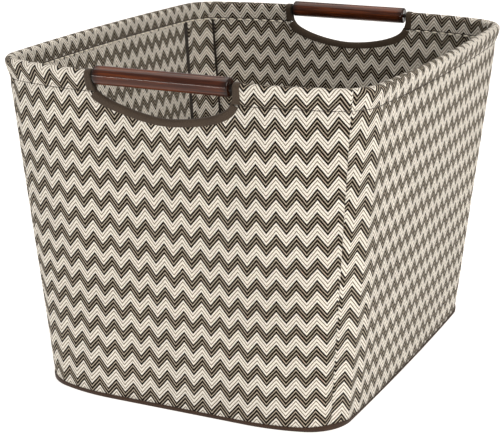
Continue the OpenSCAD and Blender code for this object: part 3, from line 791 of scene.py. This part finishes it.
def make_base_binding():
    """The tape round the bottom edge: under the base, round the corner and up the wall."""
    from_side = np.abs(np.mod(loop, 8) - 4)
    high = 3.6 + 1.8 * np.exp(-((from_side - 1.5) / 0.45) ** 2)      # higher round each corner
    high = high - 1.7 * np.clip((1.3 - from_side) / 0.5, 0, 1)        # and lower on the long sides
    wall_at, t, ease = -HALF_STACK - 0.15, 0.9, 0.9
    bend = np.linspace(0, np.pi / 2, 6)
    out_i = np.concatenate([[5.05, 3.0, 1.0], wall_at - t + ease - ease * np.sin(bend), np.full(5, wall_at - t)])
    out_z = np.concatenate([[0, 0, 0], ease - ease * np.cos(bend), np.zeros(5)])
    in_i = np.concatenate([[5.05, 3.0, 1.0], np.full(6, wall_at), np.full(5, wall_at)])
    in_z = np.concatenate([[t, t, t], np.full(6, t + 0.1), np.zeros(5)])
    rise = np.concatenate([np.zeros(9), np.linspace(0.2, 1, 5)])
    grids = []
    for inset, low, lift in ((out_i, out_z, ease), (in_i, in_z, t + 0.1)):
        z = np.where(rise[None, :] > 0, lift + (high[:, None] - lift) * rise[None, :], low[None, :])
        tuck = np.clip(rise[None, :] - 0.55, 0, 1) * 0.9
        points = wall(loop[:, None], z, inset[None, :])[0]
        wave = 0.12 * ripple(points, 22, 77) * (rise[None, :] > 0)
        grids.append(wall(loop[:, None], z, inset[None, :] + tuck + wave)[0])
    run = np.concatenate([[0], np.cumsum(np.linalg.norm(np.diff(grids[0][:, 8], axis=0), axis=1))])
    far = np.concatenate([[0], np.cumsum(np.linalg.norm(np.diff(grids[0][0], axis=0), axis=1))])
    flat = np.stack(np.broadcast_arrays(run[:, None], far[None, :]), -1)
    piece = cloth_solid("base_edge_tape", grids[0], grids[1], flat, ring=True)
    sew_in(piece, base_tape, "base_binding")


make_base_binding()

# %% [markdown]
# ## Lacquered wooden grips
# Each grip is a turned beech dowel, stained a dark red-brown and given a thick gloss lacquer. It is
# drilled through for the wire. The lathe shape has a small rounded edge, a shallow dish round the
# bore and the faint waves that sanding leaves, so its long reflections are not ruler straight.

# %% Wood and grips
def stained_wood(name):
    """Lacquered hardwood: dark stain in the pores, a red-brown glow between them, and a clear coat."""
    material, tree = new_material(name)
    place = add(tree, "TexCoord").node.outputs["Object"]
    long_grain = add(tree, "Mapping", {"Vector": place, "Scale": (10.0, 240.0, 240.0)})
    pores = add(tree, "TexNoise", {"Vector": long_grain, "Scale": 2.6, "Detail": 5.0, "Roughness": 0.65,
                                   "Distortion": 0.4})
    wide_grain = add(tree, "Mapping", {"Vector": place, "Scale": (3.0, 60.0, 60.0)})
    bands = add(tree, "TexNoise", {"Vector": wide_grain, "Scale": 2.0, "Detail": 2.0})
    mixed = add(tree, "Math", [bands, 0.6, pores], operation="MULTIPLY_ADD")
    colour = stops_of(add(tree, "ValToRGB", [mixed]), (0.40, "#180803"), (0.75, "#3c1807"), (1.0, "#6e3310"))
    # painted shade: the last few millimetres at each end are darkened, for the shade that the hem sleeves cast on
    # them
    side = add(tree, "Math", [add(tree, "SeparateXYZ", [place])], operation="ABSOLUTE")
    side = add(tree, "MapRange", {0: side, 1: 54 * MM, 2: 60 * MM, 3: 1.0, 4: 0.2})
    colour = add(tree, "VectorMath", {0: colour, "Scale": side}, operation="SCALE")
    bump = add(tree, "Bump", {"Strength": 0.06, "Distance": 0.1 * MM, "Height": pores})
    # a lacquer's IOR is near 1.5, and 1.32 keeps its mirror of the bright tent faint over the stain
    shader = add(tree, "BsdfPrincipled", {"Base Color": colour, "Roughness": 0.5, "IOR": 1.5,
                                          "Specular IOR Level": 0.05, "Coat Weight": 1.0,
                                          "Coat Roughness": 0.05, "Coat IOR": 1.32, "Normal": bump})
    add(tree, "OutputMaterial", [shader])
    return material


lacquered_beech = stained_wood("lacquered_beech")


def make_grip(name, node):
    """A turned grip on the wire, as long and as thick as the model's."""
    low, high = (np.array(corner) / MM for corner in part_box(node))
    middle, r, half = (low + high) / 2, (high[2] - low[2]) / 2, (high[0] - low[0]) / 2
    e, bore = 1.4, WIRE_D / 2 + 0.06    # radius of the rounded edge, and of the bore
    bend = np.linspace(0, np.pi / 2, 7)
    dish_r = np.array([bore, bore + 0.5, bore + 1.4, r - e - 1.2])
    dish_x = np.array([half - 1.2, half - 0.5, half - 0.12, half - 0.02])
    edge_r, edge_x = r - e + e * np.sin(bend), half - e + e * np.cos(bend)
    along = np.linspace(half - e, -half + e, 60)[1:-1]
    radius = np.concatenate([dish_r, edge_r, np.full(len(along), r), edge_r[::-1], dish_r[::-1]])
    x = np.concatenate([dish_x, edge_x, along, -edge_x[::-1], -dish_x[::-1]])
    angle = np.arange(72) * math.tau / 72
    sanded = np.stack(np.broadcast_arrays(x[:, None] / 3, 6 * np.cos(angle), 6 * np.sin(angle)), -1)
    wave = 1 - 0.004 * (1 + ripple(sanded, 9, 5)) / 2
    ring_r = radius[:, None] * np.where(radius[:, None] > r - 0.1, wave, 1)
    length_at = np.broadcast_to(x[:, None], ring_r.shape)
    points = np.stack([length_at, ring_r * np.cos(angle), ring_r * np.sin(angle)], -1) + middle
    n, m = ring_r.shape
    index = np.arange(n * m).reshape(n, m)
    turned = np.roll(index, -1, 1)
    skin = np.stack([index[:-1], index[1:], turned[1:], turned[:-1]], -1).reshape(-1, 4)
    bore_skin = np.stack([index[-1], index[0], turned[0], turned[-1]], -1)
    piece = finish_mesh(name, points.reshape(-1, 3), np.concatenate([skin, bore_skin]))
    piece.data.materials.append(lacquered_beech)
    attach(piece, node)
    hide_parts(node)
    print(f"{name}: {2 * half:.0f} mm long, {2 * r:.1f} mm thick")


make_grip("front_wooden_grip", "front_grip")
make_grip("back_wooden_grip", "back_grip")

# %% [markdown]
# ## Wire and boards
# The rim wire is steel rod under a dark brown enamel, which shows for a few millimetres beside each
# grip. The joiner is the same. The boards are grey fibreboard inside the walls. These pieces have the
# right shape in the model already, so they keep it and only get their materials.

# %% Enamelled wire and fibreboard
def enamelled_steel(name):
    """Stoved enamel on steel: smooth and dark, with a soft shine and slight orange peel."""
    material, tree = new_material(name)
    place = add(tree, "TexCoord").node.outputs["Object"]
    peel = add(tree, "TexNoise", {"Vector": place, "Scale": 1400.0, "Detail": 1.0})
    scuff = add(tree, "TexNoise", {"Vector": place, "Scale": 120.0, "Detail": 3.0})
    colour = stops_of(add(tree, "ValToRGB", [scuff]), (0.4, "#17110d"), (0.75, "#2d241d"))
    rough = add(tree, "MapRange", {0: scuff, 1: 0.3, 2: 0.7, 3: 0.28, 4: 0.45})
    bump = add(tree, "Bump", {"Strength": 0.15, "Distance": 0.1 * MM, "Height": peel})
    shader = add(tree, "BsdfPrincipled", {"Base Color": colour, "Roughness": rough, "IOR": 1.5, "Normal": bump})
    add(tree, "OutputMaterial", [shader])
    return material


def pressed_fibreboard(name):
    """Fibreboard: grey-brown, matt, with short pale fibres pressed into it."""
    material, tree = new_material(name)
    place = add(tree, "TexCoord").node.outputs["Object"]
    pressed = add(tree, "Mapping", {"Vector": place, "Scale": (1.0, 1.0, 0.25)})
    fibre = add(tree, "TexNoise", {"Vector": pressed, "Scale": 420.0, "Detail": 4.0})
    colour = stops_of(add(tree, "ValToRGB", [fibre]), (0.35, "#4e463c"), (0.7, "#7a7063"))
    bump = add(tree, "Bump", {"Strength": 0.3, "Distance": 0.15 * MM, "Height": fibre})
    shader = add(tree, "BsdfPrincipled", {"Base Color": colour, "Roughness": 0.9, "IOR": 1.5,
                                          "Specular IOR Level": 0.2, "Normal": bump})
    add(tree, "OutputMaterial", [shader])
    return material


enamel, fibreboard = enamelled_steel("enamelled_steel"), pressed_fibreboard("pressed_fibreboard")
for node, material in [("rim_wire", enamel), ("wire_joiner", enamel)] + [
        (side + "_board", fibreboard) for side in ("front", "back", "left", "right", "base")]:
    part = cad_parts[node]
    part.data.materials.clear()
    part.data.materials.append(material)
    print(node, "gets", material.name)

# %% [markdown]
# ## Floor and light
# The bin stands on a plain pale sheet, lit almost evenly from all sides as in a light tent, so the
# zigzag reads the same on both walls. A large soft box to the right makes the right side a little
# brighter, one overhead puts a sheen on the rim and the tops of the grips, and a low narrow one in
# front draws the streak along the lacquer. The floor glows faintly, which keeps the shadow soft.

# %% Stage and lights
def plain_floor():
    """A matt white sheet that glows a little, with hardly any pattern."""
    material, tree = new_material("matt_white_sheet")
    place = add(tree, "TexCoord").node.outputs["Object"]
    grain = add(tree, "TexNoise", {"Vector": place, "Scale": 3.0, "Detail": 1.0})
    colour = stops_of(add(tree, "ValToRGB", [grain]), (0.0, "#c4c2c0"), (1.0, "#c8c6c4"))
    shader = add(tree, "BsdfPrincipled", {"Base Color": colour, "Roughness": 0.9, "Specular IOR Level": 0.1,
                                          "Emission Color": dye("#fffdfb"), "Emission Strength": 0.8})
    add(tree, "OutputMaterial", [shader])
    return material


FLOOR_HALF = 9000                  # so wide that its edge is never seen
corners = [[x * FLOOR_HALF, y * FLOOR_HALF, -0.3] for x, y in ((-1, -1), (1, -1), (1, 1), (-1, 1))]
floor = finish_mesh("floor_sheet", corners, [[0, 1, 2, 3]])
floor.data.materials.append(plain_floor())

world = bpy.data.worlds.new("light_tent")
world.use_nodes = True
world.node_tree.nodes["Background"].inputs["Color"].default_value = dye("#fffdfa")
world.node_tree.nodes["Background"].inputs["Strength"].default_value = 0.48
bpy.context.scene.world = world
bpy.context.scene.view_settings.view_transform = "Standard"


def soft_box(name, place, target, width, height, power):
    """A rectangular lamp that faces a target."""
    data = bpy.data.lights.new(name, "AREA")
    data.shape, data.size, data.size_y, data.energy = "RECTANGLE", width, height, power
    data.color = dye("#fff9f2")[:3]
    lamp = bpy.data.objects.new(name, data)
    bpy.context.collection.objects.link(lamp)
    aim = np.array(target) - np.array(place)
    flat_turn = math.atan2(aim[0], -aim[1])
    down = math.atan2(math.hypot(aim[0], aim[1]), -aim[2])
    lamp.location, lamp.rotation_euler = place, (down, 0, flat_turn + math.pi)


soft_box("key_soft_box", (3.2, -1.1, 2.0), (0, 0, 0.2), 2.4, 1.8, 96)
soft_box("overhead_soft_box", (-0.5, 0.2, 2.3), (0, 0, 0.2), 2.4, 1.6, 28)
soft_box("low_strip_box", (-1.1, -2.4, 0.17), (0, 0, 0.29), 2.0, 0.09, 16)
print("three soft boxes in a light tent")
